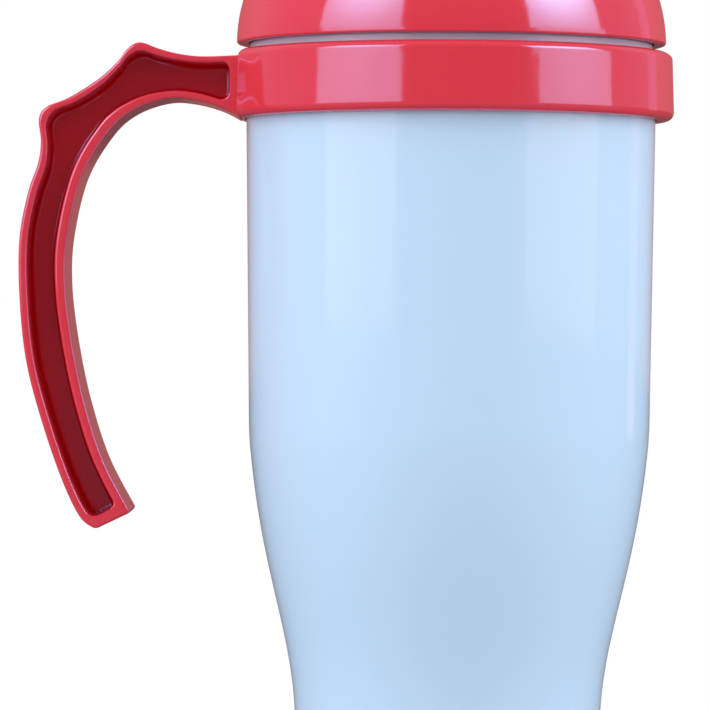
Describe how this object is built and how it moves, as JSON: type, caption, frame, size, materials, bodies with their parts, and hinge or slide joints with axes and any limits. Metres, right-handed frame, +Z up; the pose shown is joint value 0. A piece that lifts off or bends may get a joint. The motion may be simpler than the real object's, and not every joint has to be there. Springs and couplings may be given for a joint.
{
  "type": "insulated travel mug",
  "caption": "Double-walled travel mug with a narrow foot, a ring with an open C handle, and a domed screw lid with a sliding drink shutter.",
  "frame": {"origin": "centre of the foot pad's underside, on the mug's axis", "axes": "+Z up along the mug's axis; the handle reaches towards -X; the drink hole is on the -Y side"},
  "size_m": [0.1348, 0.0924, 0.1767],
  "materials": {
    "body_plastic": "gloss",
    "red_plastic": "gloss",
    "liner_plastic": "satin",
    "silicone": "satin",
    "foot_rubber": "matte",
    "foam": "matte"
  },
  "bodies": {
    "cup": {"outer_shell": "body_plastic", "base_cap": "body_plastic", "base_seal": "silicone", "foot_pad": "foot_rubber", "insulation_sleeve": "foam", "base_insulation": "foam", "inner_liner": "liner_plastic", "neck_seal": "silicone", "handle_collar": "red_plastic"},
    "gasket": {"lid_gasket": "silicone"},
    "lid": {"lid_shell": "red_plastic", "lid_core": "liner_plastic", "lid_insulation": "foam"},
    "slide": {"slider": "red_plastic", "slider_seal": "silicone", "slider_clip": "silicone"}
  },
  "joints": [
    {"name": "lid_rise", "type": "slide", "parent": "cup", "child": "gasket", "axis": [0, 0, 1], "range_m": [0, 0.0126]},
    {"name": "lid_turn", "type": "hinge", "parent": "gasket", "child": "lid", "pos_m": [0, 0, 0.165], "axis": [0, 0, 1], "range_deg": [0, 450]},
    {"name": "slide_open", "type": "slide", "parent": "lid", "child": "slide", "axis": [0, 1, 0], "range_m": [0, 0.012]}
  ],
  "couplings": [
    {"joint": "lid_rise", "follows": "lid_turn", "m_per_rad": 0.0015915}
  ]
}
